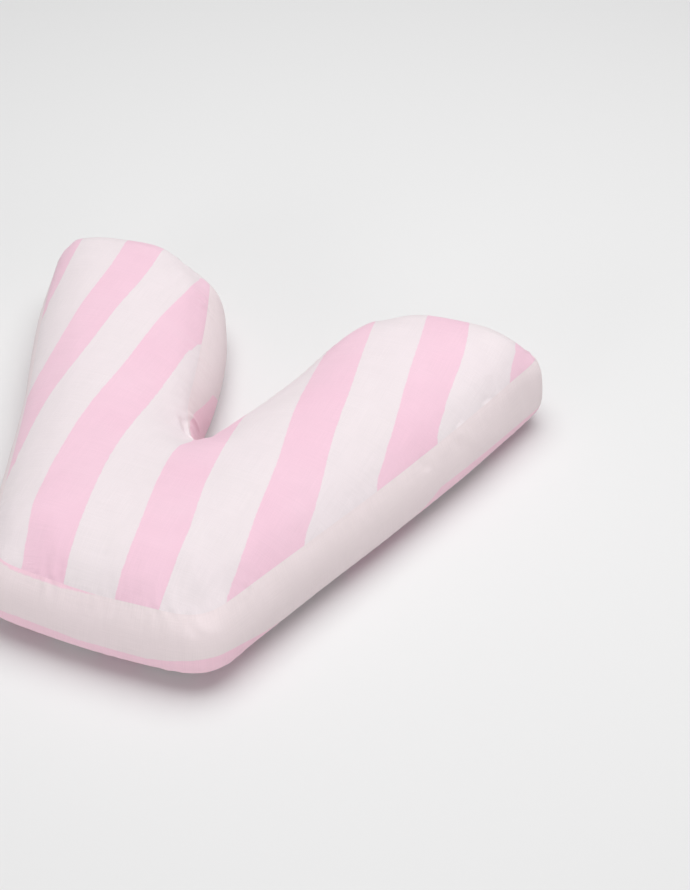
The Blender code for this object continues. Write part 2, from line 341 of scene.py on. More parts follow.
def build_cover():
    """The sewn cover as one closed quad mesh.

    Returns its vertices, faces, which panel each face is, each vertex's place in
    the panels' cut and in the band's, and the vertices on the two seams."""
    verts, faces, panel = [], [], []
    cut_panel, cut_band, seam = [], [], []
    for side, half in HALVES.items():
        sign = SIGN[side]
        a_cuts, b_cuts = gathered(ACROSS, 0.75), row_places(half)
        na, nb = len(a_cuts), len(b_cuts)
        a, b = np.meshgrid(a_cuts, b_cuts, indexing="ij")
        place = half.plan(a, b)
        flat = place.reshape(-1, 2) * (sign, 1.0)
        world = flat + LETTER_AT
        af, bf = a.ravel(), b.ravel()

        bb = np.maximum(b_cuts, 1e-6)
        outer_z = half.on_edge("seam", np.zeros(nb), bb)
        inner_z = half.on_edge("seam", np.ones(nb), bb)
        tip_z = half.on_edge("seam", a_cuts, np.zeros(na))
        base = outer_z[None] * (1 - a) + inner_z[None] * a
        near_tip = np.clip(1.0 - b * half.outer.length / 0.05, 0.0, 1.0)
        base = base + near_tip * (tip_z[:, None] - base[:, :1])
        front_z = base.ravel() + FRONT_CROWN * fullness(flat, FRONT_ROLL)
        back_z = settled(BACK_CROWN * fullness(flat, BACK_ROLL) - BACK_SEAM)
        edge = (af <= 0) | (af >= 1) | (bf <= 0)
        front_z[edge] = base.ravel()[edge]
        back_z[edge] = settled(-BACK_SEAM)

        def grid(z, tag, flip):
            start = len(verts)
            verts.extend(np.column_stack([world, z]).tolist())
            cut_panel.extend(flat.tolist())
            cut_band.extend([(0.0, 0.0)] * len(flat))
            seam.extend(edge.tolist())
            for i in range(na - 1):
                for j in range(nb - 1):
                    q = [start + i * nb + j, start + (i + 1) * nb + j,
                         start + (i + 1) * nb + j + 1, start + i * nb + j + 1]
                    faces.append(q[::-1] if flip else q)
                    panel.append(tag)

        grid(front_z, 1, side == "right")
        grid(back_z, 2, side == "left")

        # the band, from the notch round the arm to the foot's middle
        walk = [(1.0, v) for v in b_cuts[::-1]]
        walk += [(u, 0.0) for u in a_cuts[::-1][1:]]
        walk += [(0.0, v) for v in b_cuts[1:]]
        pa, pb = np.array(walk).T
        line = half.plan(pa, pb)
        top = half.on_edge("seam", pa, pb)
        bulge = half.on_edge("bulge", pa, pb)
        step = np.gradient(line, axis=0)
        # the middle line's ends run straight across it
        step[0], step[-1] = (step[0][0], 0.0), (step[-1][0], 0.0)
        normal = np.stack([-step[:, 1], step[:, 0]], 1)
        normal /= np.linalg.norm(normal, axis=1)[:, None]
        outward = normal
        along = np.concatenate([[0.0], np.cumsum(np.linalg.norm(np.diff(line, axis=0), axis=1))])
        start = len(verts)
        low = float(settled(-BACK_SEAM))
        for k, c in enumerate(gathered(UP, 0.7)):
            lean = 1.0 - abs(2 * c**0.64 - 1) ** 2.2
            xy = (line + outward * (bulge * lean)[:, None]) * (sign, 1.0)
            z = low + (top - low) * c
            verts.extend(np.column_stack([xy + LETTER_AT, z]).tolist())
            cut_panel.extend((line * (sign, 1.0)).tolist())
            cut_band.extend(np.column_stack([sign * (along[-1] - along), np.full(len(line), c)]).tolist())
            seam.extend([k in (0, UP)] * len(line))
        n = len(walk)
        for k in range(UP):
            for j in range(n - 1):
                q = [start + k * n + j, start + k * n + j + 1,
                     start + (k + 1) * n + j + 1, start + (k + 1) * n + j]
                faces.append(q if side == "left" else q[::-1])
                panel.append(0)
    return verts, faces, panel, cut_panel, cut_band, seam


def cover_mesh():
    verts, faces, panel, cut_panel, cut_band, seam = build_cover()
    mesh = bpy.data.meshes.new("cover")
    mesh.from_pydata(verts, [], faces)
    mesh.polygons.foreach_set("material_index", panel)
    for name, values in (("cut_panel", cut_panel), ("cut_band", cut_band)):
        layer = mesh.attributes.new(name, "FLOAT_VECTOR", "POINT")
        layer.data.foreach_set("vector", [x for v in values for x in (*v, 0.0)])
    layer = mesh.attributes.new("seam", "FLOAT", "POINT")
    layer.data.foreach_set("value", [float(s) for s in seam])
    bm = bmesh.new()
    bm.from_mesh(mesh)
    # a seam vertex of a panel lies on one of the band: keep the band's attributes
    band = bm.verts.layers.float_vector["cut_band"]
    targets = {}
    for v in sorted(bm.verts, key=lambda v: -abs(v[band].x) - abs(v[band].y)):
        key = tuple(round(x * 2e5) for x in v.co)
        targets.setdefault(key, v)
    weld = {}
    for v in bm.verts:
        key = tuple(round(x * 2e5) for x in v.co)
        if targets[key] is not v:
            weld[v] = targets[key]
    bmesh.ops.weld_verts(bm, targetmap=weld)
    bmesh.ops.remove_doubles(bm, verts=bm.verts, dist=2e-6)
    bmesh.ops.recalc_face_normals(bm, faces=bm.faces)
    bm.to_mesh(mesh)
    bm.free()
    return mesh


def link(obj):
    bpy.context.scene.collection.objects.link(obj)
    return obj


def points_of(mesh):
    co = np.empty(len(mesh.vertices) * 3, np.float32)
    mesh.vertices.foreach_get("co", co)
    return co.reshape(-1, 3).astype(float)


def attribute(mesh, name, width=3):
    out = np.empty(len(mesh.vertices) * width, np.float32)
    mesh.attributes[name].data.foreach_get("vector" if width == 3 else "value", out)
    return out.reshape(-1, width).astype(float)


# ============================================================ inflated as cloth
SIM_FRAMES = 20
SIM_CAP = 7.0 * MM


def inflate(obj):
    """The sewn cover blown up as cloth. Its seams are drawn in and it stands on its flat."""
    mesh = obj.data
    start = points_of(mesh)
    seam = attribute(mesh, "seam", 1)[:, 0] > 0.5
    hold = obj.vertex_groups.new(name="hold")
    pull = obj.vertex_groups.new(name="pull")
    for i in range(len(start)):
        if start[i, 2] < 0.0004:
            hold.add([i], 1.0, "REPLACE")
        elif seam[i]:
            hold.add([i], 0.80, "REPLACE")
        if seam[i]:
            pull.add([i], 1.0, "REPLACE")
    cloth = obj.modifiers.new("inflate", "CLOTH")
    s = cloth.settings
    s.quality = 6
    s.mass = 0.15
    s.air_damping = 2.0
    s.tension_stiffness = 30
    s.compression_stiffness = 20
    s.shear_stiffness = 12
    s.bending_stiffness = 0.4
    s.use_pressure = True
    s.uniform_pressure_force = 4.0
    s.effector_weights.gravity = 0.0
    s.vertex_group_mass = "hold"
    s.pin_stiffness = 1.0
    s.vertex_group_shrink = "pull"
    s.shrink_min = 0.0
    s.shrink_max = 0.02
    cloth.collision_settings.use_collision = False
    cloth.collision_settings.use_self_collision = False
    cloth.point_cache.frame_start = 1
    cloth.point_cache.frame_end = SIM_FRAMES
    scene = bpy.context.scene
    for number in range(1, SIM_FRAMES + 1):
        scene.frame_set(number)
    shown = obj.evaluated_get(bpy.context.evaluated_depsgraph_get())
    end = points_of(shown.data)
    obj.modifiers.remove(cloth)
    scene.frame_set(1)
    move = end - start
    size = np.linalg.norm(move, axis=1)
    move *= (SIM_CAP * np.tanh(size / SIM_CAP) / np.maximum(size, 1e-9))[:, None]
    # no single point stands out from its neighbours
    ends = np.empty(len(mesh.edges) * 2, np.int32)
    mesh.edges.foreach_get("vertices", ends)
    one, two = ends.reshape(-1, 2).T
    count = np.bincount(one, minlength=len(start)) + np.bincount(two, minlength=len(start))
    for _ in range(6):
        mean = np.stack([
            np.bincount(one, move[two, k], len(start)) + np.bincount(two, move[one, k], len(start))
            for k in range(3)
        ], 1) / count[:, None]
        move = 0.4 * move + 0.6 * mean
    move[start[:, 2] < 0.0004] = 0.0
    place = start + move
    place[:, 2] = np.maximum(place[:, 2], 0.0)
    print("inflate", "moved mean", size.mean() * 1000, "max", size.max() * 1000, "mm")
    mesh.vertices.foreach_set("co", place.astype(np.float32).ravel())
    mesh.update()
    obj.vertex_groups.clear()


# ================================================= the print, in the cloth's own plane
WHITE_WIDTH = 0.040
PINK_WIDTH = 0.034
# The stripes lean a little over the foot and the right arm. In the left arm they
# turn upright above a kink, where the cloth is tucked in at the notch.
STRIPE_START = 0.1914
STRIPE_ACROSS, STRIPE_LEAN = 1.0558, 0.1140
KINK_HEIGHT, KINK_SOFT, KINK_TURN = 0.12, 0.01, -0.0614
TUCK = (0.013, 0.150, 0.013, -6.4)
# How sewing and filling pull the stripes aside: at which place, and by how much.
PULL_REACH = 0.055
STRIPE_PULLS = (
    #   x      y     mm
    (-0.225, 0.355, -4.0),
    (-0.17, 0.30, -4.9),
    (-0.11, 0.32, -7.5),
    (-0.14, 0.22, -4.2),
    (-0.06, 0.26, 1.3),
    (-0.10, 0.15, 8.3),
    (-0.03, 0.17, -2.4),
    (-0.09, 0.06, 10.5),
    (-0.03, 0.05, -3.1),
    (0.04, 0.03, -4.6),
    (0.09, 0.05, -8.4),
    (0.02, 0.11, -0.4),
    (0.08, 0.15, -5.8),
    (0.13, 0.12, -11.1),
    (0.10, 0.24, -5.1),
    (0.16, 0.21, -8.7),
    (0.12, 0.32, -2.4),
    (0.19, 0.31, -11.3),
)


def front_stripe(x, y):
    """How far across the stripes a place of the front panel is, in metres."""
    left = smooth(0.25 + (0.02 - x) / 0.08)
    kink = 0.5 * (y - KINK_HEIGHT + np.hypot(y - KINK_HEIGHT, KINK_SOFT))
    at = STRIPE_START + STRIPE_ACROSS * x + STRIPE_LEAN * (y - 0.17) + KINK_TURN * left * kink
    for px, py, mm in STRIPE_PULLS:
        at = at + mm * MM * np.exp(-((x - px) ** 2 + (y - py) ** 2) / PULL_REACH**2)
    px, py, reach, mm = TUCK
    return at + mm * MM * np.exp(-((x - px) ** 2 + (y - py) ** 2) / reach**2)


def back_stripe(x, y):
    """The back is cut from the same cloth, its stripes nearly straight."""
    return 0.2030 + x * math.cos(0.10) + (y - 0.17) * math.sin(0.10) + 0.0015 * np.sin(y * 17 + 1.0)


def into_pink(at):
    """How far inside a pink stripe (above zero) or a white one (below zero)."""
    place = np.mod(at + PINK_WIDTH, WHITE_WIDTH + PINK_WIDTH)
    pink = PINK_WIDTH / 2 - np.abs(place - PINK_WIDTH / 2)
    white = WHITE_WIDTH / 2 - np.abs(place - PINK_WIDTH - WHITE_WIDTH / 2)
    return np.where(place < PINK_WIDTH, pink, -white)


# The band is cut along one stripe: white over its upper part, pink along its foot.
# From the foot's middle, to the right above zero: how high the pink reaches, and how
# wide a sliver of it is turned in at the front seam, both in mm.
BAND_PINK = (
    #   s      low   sliver
    (-0.800, 58.0, 0.0),
    (-0.770, 58.0, 0.0),
    (-0.752, 49.0, 0.0),
    (-0.737, 41.5, 0.0),
    (-0.724, 36.5, 0.0),
    (-0.713, 33.0, 0.0),
    (-0.706, 22.0, 0.0),
    (-0.700, 12.0, 0.0),
    (-0.660, 9.0, 0.0),
    (-0.400, 8.0, 0.0),
    (-0.200, 12.0, 0.0),
    (-0.100, 23.0, 1.0),
    (-0.054, 24.0, 2.2),
    (-0.022, 23.5, 2.0),
    (-0.004, 22.0, 1.2),
    (0.010, 22.5, 0.0),
    (0.031, 22.0, 0.0),
    (0.046, 21.5, 0.0),
    (0.061, 24.0, 0.0),
    (0.080, 28.5, 0.0),
    (0.093, 28.0, 0.0),
    (0.106, 25.0, 0.0),
    (0.130, 16.0, 0.0),
    (0.160, 8.0, 0.0),
    (0.290, 8.0, 0.0),
    (0.305, 17.0, 0.0),
    (0.320, 25.0, 0.0),
    (0.370, 23.0, 0.0),
    (0.439, 17.0, 0.0),
    (0.470, 14.0, 0.0),
    (0.600, 9.0, 0.0),
    (0.690, 12.0, 0.0),
    (0.730, 40.0, 0.0),
    (0.765, 57.0, 0.0),
    (0.800, 58.0, 0.0),
)
BAND_WIDTH = 0.060


def band_pink(s, c):
    """How far inside the band's pink a place is, at share c of its height."""
    rows = np.array(BAND_PINK)
    low = np.interp(s, rows[:, 0], rows[:, 1]) * MM
    sliver = np.interp(s, rows[:, 0], rows[:, 2]) * MM
    high = c * BAND_WIDTH
    return np.maximum(low - high, sliver - (BAND_WIDTH - high) - 0.0006)


def unrolled(points, reach, crown):
    """Places in the flat cut, where the cloth that rolls down to a seam lies outwards."""
    out = points.copy()
    t = np.linspace(0.0, 1.0, 400)
    chains = []
    for side, half in HALVES.items():
        for name, chain in half.chains.items():
            if name == "foot" and side == "left":
                continue
            line = Path(chain * (SIGN[side], 1.0))(np.linspace(0.0, 1.0, 60))
            depth, toward = nearest(points, line)
            chains.append((name, depth, toward))
    shares = [roll(depth, reach[name] * MM) for name, depth, _ in chains]
    for i, (name, depth, toward) in enumerate(chains):
        length = reach[name] * MM
        height = crown * roll(t * length, length)
        extra = np.hypot(np.diff(height), length / 399) - length / 399
        left = np.concatenate([np.cumsum(extra[::-1])[::-1], [0.0]])
        others = np.prod([s for k, s in enumerate(shares) if k != i], axis=0)
        out += toward * (np.interp(depth, t * length, left) * others)[:, None]
    return out


def nearest(points, line):
    """Distance to a line of points, and the direction towards it, softened close by."""
    best = np.full(len(points), 1e9)
    foot = np.zeros((len(points), 2))
    for p, q in zip(line, line[1:]):
        d = q - p
        t = np.clip((points - p) @ d / max(d @ d, 1e-18), 0.0, 1.0)
        at = p + t[:, None] * d
        far = np.linalg.norm(points - at, axis=1)
        near = far < best
        best[near], foot[near] = far[near], at[near]
    # on the seam itself the way out is across the line, not towards it
    along = line[-1] - line[0]
    across = unit(np.array([along[1], -along[0]]))
    middle = points.mean(axis=0)
    gap = foot - points
    size = np.linalg.norm(gap, axis=1)[:, None]
    lead = np.where(size > 1e-4, gap / np.maximum(size, 1e-9), across * np.sign((line.mean(axis=0) - middle) @ across))
    return best, lead


# ========================================================= sewn, creased and cut apart
def finer(obj):
    """One subdivision, with the two seams kept sharp."""
    mesh = obj.data
    seam = attribute(mesh, "seam", 1)[:, 0] > 0.5
    panel = np.empty(len(mesh.polygons), np.int32)
    mesh.polygons.foreach_get("material_index", panel)
    bm = bmesh.new()
    bm.from_mesh(mesh)
    crease = bm.edges.layers.float.get("crease_edge") or bm.edges.layers.float.new("crease_edge")
    for e in bm.edges:
        if len(e.link_faces) == 2 and e.link_faces[0].material_index != e.link_faces[1].material_index:
            e[crease] = 1.0
    bm.to_mesh(mesh)
    bm.free()
    soft = obj.modifiers.new("finer", "SUBSURF")
    soft.levels = soft.render_levels = 1
    soft.boundary_smooth = "PRESERVE_CORNERS"
    soft.uv_smooth = "NONE"
    shown = obj.evaluated_get(bpy.context.evaluated_depsgraph_get())
    fine = bpy.data.meshes.new_from_object(shown)
    obj.modifiers.clear()
    obj.data = fine
    bpy.data.meshes.remove(mesh)


def normals_of(mesh):
    out = np.empty(len(mesh.vertices) * 3, np.float32)
    mesh.vertices.foreach_get("normal", out)
    return out.reshape(-1, 3).astype(float)


class Waves:
    """Smooth irregular waves along a seam, the same each run."""

    def __init__(self, seed, lengths, count=9):
        rng = np.random.default_rng(seed)
        self.pitch = rng.uniform(*lengths, count) * MM
        self.phase = rng.uniform(0, 2 * math.pi, count)
        self.size = rng.uniform(0.5, 1.0, count)

    def __call__(self, s):
        total = sum(
            a * np.sin(2 * math.pi * s / p + f)
            for p, f, a in zip(self.pitch, self.phase, self.size)
        )
        return total / np.sqrt((self.size**2).sum() / 2)


def rounded(mesh, place, share, rounds=170):
    """The filling rounds the cover off where share is near 1, along its seams."""
    ends = np.empty(len(mesh.edges) * 2, np.int32)
    mesh.edges.foreach_get("vertices", ends)
    one, two = ends.reshape(-1, 2).T
    count = np.bincount(one, minlength=len(place)) + np.bincount(two, minlength=len(place))
    share = 0.5 * share * np.where(place[:, 2] < 0.3 * MM, 0.0, 1.0)
    for _ in range(rounds):
        mean = np.stack([
            np.bincount(one, place[two, k], len(place)) + np.bincount(two, place[one, k], len(place))
            for k in range(3)
        ], 1) / count[:, None]
        place = place + share[:, None] * (mean - place)
    mesh.vertices.foreach_set("co", place.astype(np.float32).ravel())
    mesh.update()
    return place


def seam_line(side):
    """The seam of one half in letter coordinates, with its distance from the foot's middle."""
    half, sign = HALVES[side], SIGN[side]
    line = np.vstack([
        half.inner(np.linspace(1.0, 0.0, 500)),
        half.tip(np.linspace(1.0, 0.0, 300))[1:],
        half.outer(np.linspace(0.0, 1.0, 1400))[1:],
    ])
    along = np.concatenate([[0.0], np.cumsum(np.linalg.norm(np.diff(line, axis=0), axis=1))])
    return line * (sign, 1.0), sign * (along[-1] - along)


SEAM_ROUND = 7.5 * MM
SEAM_GROOVE = 0.05 * MM
SEAM_GROOVE_WIDTH = 1.3 * MM
PUCKER = 0.40 * MM
PUCKER_REACH = 8.0 * MM

# Folds and dents, one by one: the panel, where each starts and ends, how wide it is
# and how deep in mm (below zero it stands up). On the front the places are letter
# coordinates, on the band the distance from the foot's middle and the share of its height.
FOLDS = (
    ("front", (-0.0175, 0.1885), (-0.0045, 0.1742), 3.6, 2.8),  # the tuck beside the notch
    ("front", (-0.0060, 0.1640), (-0.0190, 0.1560), 6.0, -0.9),
    ("front", (0.0040, 0.1660), (0.0300, 0.1500), 7.0, -0.8),
    ("front", (0.1900, 0.2870), (0.1975, 0.2950), 2.6, 1.3),  # dents by the right seam
    ("front", (0.1760, 0.2620), (0.1850, 0.2560), 3.0, 0.8),
    ("front", (0.1985, 0.3040), (0.1880, 0.3080), 4.0, 0.7),
    ("band", (0.3560, 0.98), (0.3640, 0.62), 3.0, -0.9),
    ("band", (0.3450, 0.97), (0.3500, 0.70), 3.4, 0.9),
    ("band", (0.3080, 1.00), (0.3130, 0.80), 3.0, 1.1),
    ("band", (0.0790, 0.96), (0.0850, 0.78), 2.6, -1.1),  # the foot corner's pucker
    ("band", (0.0730, 0.98), (0.0750, 0.84), 2.2, 0.7),
    ("band", (-0.7620, 0.99), (-0.7560, 0.55), 2.4, -1.5),  # the ridge down into the notch
)


def dress(obj):
    """Seams drawn in, puckers along them, and the folds; then the attributes to shade by."""
    mesh = obj.data
    place, normal = points_of(mesh), normals_of(mesh)
    flat = attribute(mesh, "cut_panel")[:, :2]
    band = attribute(mesh, "cut_band")[:, :2]
    tag = np.empty(len(mesh.polygons), np.int32)
    mesh.polygons.foreach_get("material_index", tag)
    corner_vert = np.empty(len(mesh.loops), np.int32)
    mesh.loops.foreach_get("vertex_index", corner_vert)
    sides = np.repeat(tag, 4)
    has = {t: np.zeros(len(place), bool) for t in (0, 1, 2)}
    for t in has:
        has[t][corner_vert[sides == t]] = True

    # distance from the seam, and the place along it
    tree = kdtree.KDTree(2 * 2199)
    lines, alongs = zip(*(seam_line(side) for side in HALVES))
    line, along = np.vstack(lines), np.concatenate(alongs)
    tree = kdtree.KDTree(len(line))
    for i, (x, y) in enumerate(line):
        tree.insert((x, y, 0.0), i)
    tree.balance()
    s = band[:, 0].copy()
    far = np.zeros(len(place))
    only_panel = ~has[0]
    for i in np.nonzero(only_panel)[0]:
        _, k, d = tree.find((flat[i, 0], flat[i, 1], 0.0))
        s[i], far[i] = along[k], d
    top_far, low_far = (1 - band[:, 1]) * BAND_WIDTH, band[:, 1] * BAND_WIDTH
    from_top = np.where(only_panel, far, top_far)
    from_low = np.where(only_panel, far, low_far)

    place = rounded(mesh, place, np.exp(-((np.minimum(from_top, from_low) / SEAM_ROUND) ** 2)))
    normal = normals_of(mesh)

    waves = {"top": (Waves(3, (9, 15)), Waves(4, (30, 70))), "low": (Waves(5, (9, 15)), Waves(6, (30, 70)))}
    move = np.zeros(len(place))
    for name, d, where in (
        ("top", from_top, has[1] | has[0]),
        ("low", from_low, has[2] | has[0]),
    ):
        groove = SEAM_GROOVE * np.exp(-((d / SEAM_GROOVE_WIDTH) ** 2))
        ripple, swell = waves[name]
        size = PUCKER * (0.55 + 0.45 * np.clip(swell(s), -1, 1.4))
        fade = np.exp(-d / PUCKER_REACH) * (1 - np.exp(-((d / (1.2 * MM)) ** 2)))
        panel_side = np.where(only_panel, ripple(s + 0.3 * d), ripple(s + 0.004 - 0.2 * d))
        move += np.where(where, -groove + size * panel_side * fade, 0.0)
    for panel, start, end, wide, deep in FOLDS:
        p, q = np.array(start), np.array(end)
        at = flat
        if panel == "band":
            at = np.column_stack([s, band[:, 1] * BAND_WIDTH])
            p, q = p * (1.0, BAND_WIDTH), q * (1.0, BAND_WIDTH)
        on = has[0] if panel == "band" else ~has[0] & (has[1] if panel == "front" else has[2])
        d = q - p
        t = np.clip((at - p) @ d / (d @ d), 0.0, 1.0)
        away = np.linalg.norm(at - p - t[:, None] * d, axis=1)
        fade = np.sin(math.pi * (0.08 + 0.84 * t)) ** 0.8
        move -= np.where(on, deep * MM * fade * np.exp(-((away / (wide * MM)) ** 2)), 0.0)
    # nothing is pushed through the surface that it rests on
    lift = np.where(place[:, 2] < 0.3 * MM, 0.0, 1.0)
    place = place + normal * (move * lift)[:, None]
    place[:, 2] = np.maximum(place[:, 2], 0.0)
    mesh.vertices.foreach_set("co", place.astype(np.float32).ravel())
    mesh.update()

    cloth = np.zeros((3, len(place), 2))
    cloth[0] = np.column_stack([s, band[:, 1] * BAND_WIDTH])
    cloth[1] = unrolled(flat, FRONT_ROLL, FRONT_CROWN)
    cloth[2] = unrolled(flat, BACK_ROLL, BACK_CROWN)
    ink = np.stack([
        band_pink(s, band[:, 1]),
        into_pink(front_stripe(flat[:, 0], flat[:, 1])),
        into_pink(back_stripe(cloth[2][:, 0], cloth[2][:, 1])),
    ])
    seam_place = np.column_stack([s, np.minimum(from_top, from_low)])
    return cloth, ink, seam_place


SHELL = 1.0 * MM
NAMES = {0: "side_band", 1: "front_cover", 2: "back_cover"}


def cut_apart(obj, cloth, ink, seam_place):
    """The three sewn pieces: two covers as thin shells, and the filled body with its band."""
    mesh = obj.data
    place, normal = points_of(mesh), normals_of(mesh)
    quads = np.empty(len(mesh.loops), np.int32)
    mesh.loops.foreach_get("vertex_index", quads)
    quads = quads.reshape(-1, 4)
    tag = np.empty(len(mesh.polygons), np.int32)
    mesh.polygons.foreach_get("material_index", tag)
    face_normal = np.empty(len(mesh.polygons) * 3, np.float32)
    mesh.polygons.foreach_get("normal", face_normal)
    face_normal = face_normal.reshape(-1, 3).astype(float)
    made = {}
    for t, name in NAMES.items():
        mine = quads[tag == t]
        used, index = np.unique(mine, return_inverse=True)
        faces = index.reshape(-1, 4)
        # each piece's own normals, without its neighbour's across the seam
        own = np.zeros((len(place), 3))
        for k in range(4):
            np.add.at(own, mine[:, k], face_normal[tag == t])
        own = own[used] / np.maximum(np.linalg.norm(own[used], axis=1), 1e-9)[:, None]
        edges = np.sort(np.stack([faces, np.roll(faces, -1, axis=1)], -1).reshape(-1, 2), axis=1)
        directed = np.stack([faces, np.roll(faces, -1, axis=1)], -1).reshape(-1, 2)
        _, which, count = np.unique(edges, axis=0, return_index=True, return_counts=True)
        rim = directed[which[count == 1]]
        points = place[used]
        n = len(points)
        if t == 0:
            # the body goes on under both covers
            under = quads[tag != 0]
            both, inside = np.unique(under, return_inverse=True)
            inside = inside.reshape(-1, 4)
            shared = {int(v): i for i, v in enumerate(used)}
            remap = np.empty(len(both), np.int64)
            extra = []
            for i, v in enumerate(both):
                if int(v) in shared:
                    remap[i] = shared[int(v)]
                else:
                    remap[i] = n + len(extra)
                    extra.append(int(v))
            extra = np.array(extra)
            sunk = place[extra] - normal[extra] * (1.3 * SHELL)
            all_points = np.vstack([points, sunk])
            all_faces = np.vstack([faces, remap[inside]])
            source = np.concatenate([used, extra])
        else:
            all_points = np.vstack([points, points - own * SHELL])
            lining = faces[:, ::-1] + n
            strip = np.stack([rim[:, 1], rim[:, 0], rim[:, 0] + n, rim[:, 1] + n], 1)
            all_faces = np.vstack([faces, lining, strip])
            source = np.concatenate([used, used])
        new = bpy.data.meshes.new(name)
        new.vertices.add(len(all_points))
        new.vertices.foreach_set("co", all_points.astype(np.float32).ravel())
        new.loops.add(len(all_faces) * 4)
        new.loops.foreach_set("vertex_index", all_faces.astype(np.int32).ravel())
        new.polygons.add(len(all_faces))
        new.polygons.foreach_set("loop_start", np.arange(0, len(all_faces) * 4, 4, dtype=np.int32))
        new.update(calc_edges=True)
        uv = new.uv_layers.new(name="cloth")
        uv.data.foreach_set("uv", cloth[t][source][all_faces.ravel()].astype(np.float32).ravel())
        layer = new.attributes.new("print", "FLOAT", "POINT")
        layer.data.foreach_set("value", ink[t][source].astype(np.float32))
        layer = new.attributes.new("seam_place", "FLOAT_VECTOR", "POINT")
        layer.data.foreach_set(
            "vector",
            np.column_stack([seam_place[source], np.zeros(len(source))]).astype(np.float32).ravel(),
        )
        layer = new.attributes.new("cut_panel", "FLOAT_VECTOR", "POINT")
        both_cut = attribute(mesh, "cut_band" if t == 0 else "cut_panel")
        layer.data.foreach_set("vector", both_cut[source].astype(np.float32).ravel())
        new.polygons.foreach_set("use_smooth", np.ones(len(all_faces), bool))
        # each piece is shaded up to its cut edge as if the cloth went on smoothly
        ends = np.empty(len(new.edges) * 2, np.int32)
        new.edges.foreach_get("vertices", ends)
        ends = np.sort(ends.reshape(-1, 2).astype(np.int64), axis=1) @ (len(all_points), 1)
        cut = np.sort(rim, axis=1)
        cut = np.vstack([cut, cut + n]) if t else cut
        sharp = np.isin(ends, cut @ (len(all_points), 1))
        layer = new.attributes.new("sharp_edge", "BOOLEAN", "EDGE")
        layer.data.foreach_set("value", sharp)
        new.validate()
        new.update()
        made[name] = link(bpy.data.objects.new(name, new))
    bpy.data.objects.remove(obj)
    return made


